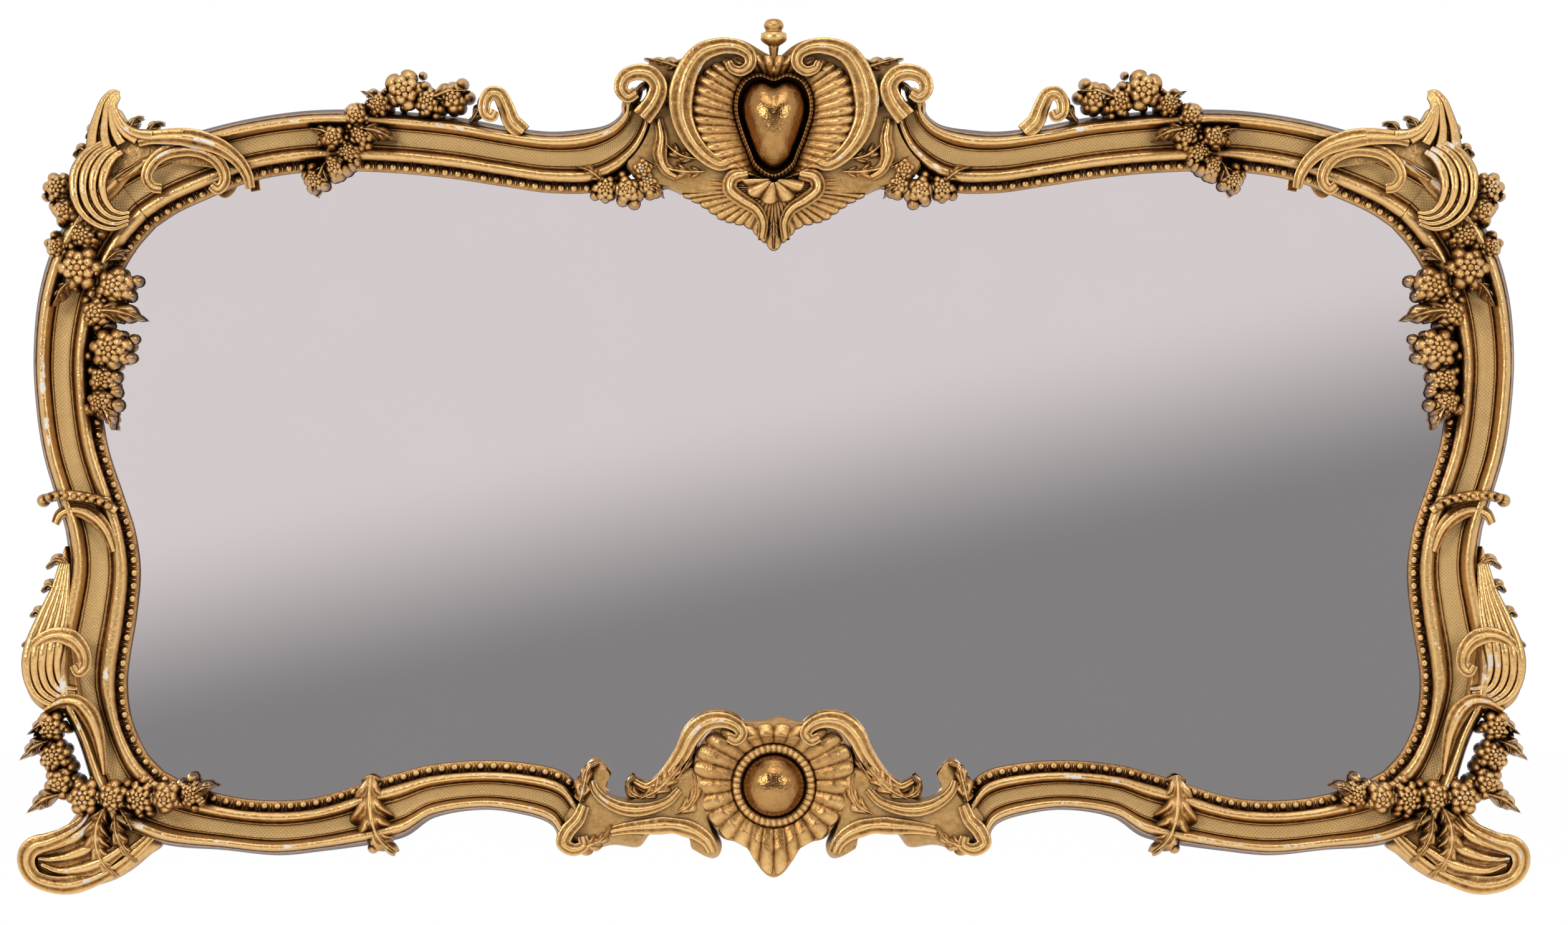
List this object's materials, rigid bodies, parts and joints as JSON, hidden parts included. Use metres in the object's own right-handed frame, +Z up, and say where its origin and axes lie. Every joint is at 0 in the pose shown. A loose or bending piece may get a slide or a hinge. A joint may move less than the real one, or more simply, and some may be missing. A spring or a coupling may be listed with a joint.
{
  "type": "giltwood wall mirror",
  "caption": "Wide rococo wall mirror: one silvered plate in a serpentine carved and gilt frame with bead string, leaf corners, shell crest and bottom cartouche, hung by D-rings.",
  "frame": {"origin": "on the back of the crest board, on the centre line, in the plane that bears on the wall", "axes": "+X to the viewer's right, +Y into the wall (the carving faces -Y), +Z up"},
  "size_m": [1.7994, 0.1058, 1.0425],
  "materials": {
    "gilt_wood": "water-gilt carved wood, worn to red bole and white gesso on the ridges",
    "burnished_gold": "burnished gilding",
    "silvered_plate": "silvered glass",
    "pine_board": "rough sawn, aged",
    "pine_block": "sawn softwood",
    "beech_dowel": "turned beech",
    "screw_steel": "dull steel",
    "hanger_steel": "zinc-dull steel"
  },
  "bodies": {
    "mirror": {"apron_ball": "burnished_gold", "apron_board": "gilt_wood", "apron_neck_left": "gilt_wood", "apron_neck_right": "gilt_wood", "apron_ring": "gilt_wood", "apron_scroll_left": "gilt_wood", "apron_scroll_right": "gilt_wood", "backboard_1": "pine_board", "backboard_2": "pine_board", "backboard_3": "pine_board", "backboard_screws": "screw_steel", "bead_string_left": "gilt_wood", "bead_string_right": "gilt_wood", "bottom_arch_left": "gilt_wood", "bottom_arch_right": "gilt_wood", "bottom_rail_left": "gilt_wood", "bottom_rail_right": "gilt_wood", "corner_leaf_left": "gilt_wood", "corner_leaf_right": "gilt_wood", "crest_board": "gilt_wood", "crest_boss": "burnished_gold", "crest_finial": "gilt_wood", "crest_lambrequin": "gilt_wood", "crest_scroll_left": "gilt_wood", "crest_scroll_right": "gilt_wood", "crest_shell": "gilt_wood", "crest_spray_left": "gilt_wood", "crest_spray_right": "gilt_wood", "foot_scroll_left": "gilt_wood", "foot_scroll_right": "gilt_wood", "foot_spray_left": "gilt_wood", "foot_spray_right": "gilt_wood", "frame_dowels": "beech_dowel", "hanger_screws": "screw_steel", "hanger_straps": "hanger_steel", "lower_stile_left": "gilt_wood", "lower_stile_right": "gilt_wood", "mirror_plate": "silvered_plate", "plate_blocks": "pine_block", "rail_clasp_left": "gilt_wood", "rail_clasp_right": "gilt_wood", "rail_curl_left": "gilt_wood", "rail_curl_right": "gilt_wood", "shoulder_scroll_left": "gilt_wood", "shoulder_scroll_right": "gilt_wood", "stile_collar_left": "gilt_wood", "stile_collar_right": "gilt_wood", "stile_leaf_left": "gilt_wood", "stile_leaf_right": "gilt_wood", "stile_spray_left": "gilt_wood", "stile_spray_right": "gilt_wood", "top_rail_left": "gilt_wood", "top_rail_right": "gilt_wood", "top_spray_left": "gilt_wood", "top_spray_right": "gilt_wood", "upper_stile_left": "gilt_wood", "upper_stile_right": "gilt_wood"},
    "left_ring": {"hanger_ring_left": "hanger_steel"},
    "right_ring": {"hanger_ring_right": "hanger_steel"}
  },
  "joints": [
    {"name": "hanger_ring_left", "type": "hinge", "parent": "mirror", "child": "left_ring", "pos_m": [-0.8505, 0.0039, -0.24035], "axis": [1, 0, 0], "range_deg": [0, 180]},
    {"name": "hanger_ring_right", "type": "hinge", "parent": "mirror", "child": "right_ring", "pos_m": [0.8505, 0.0039, -0.24035], "axis": [1, 0, 0], "range_deg": [0, 180]}
  ]
}
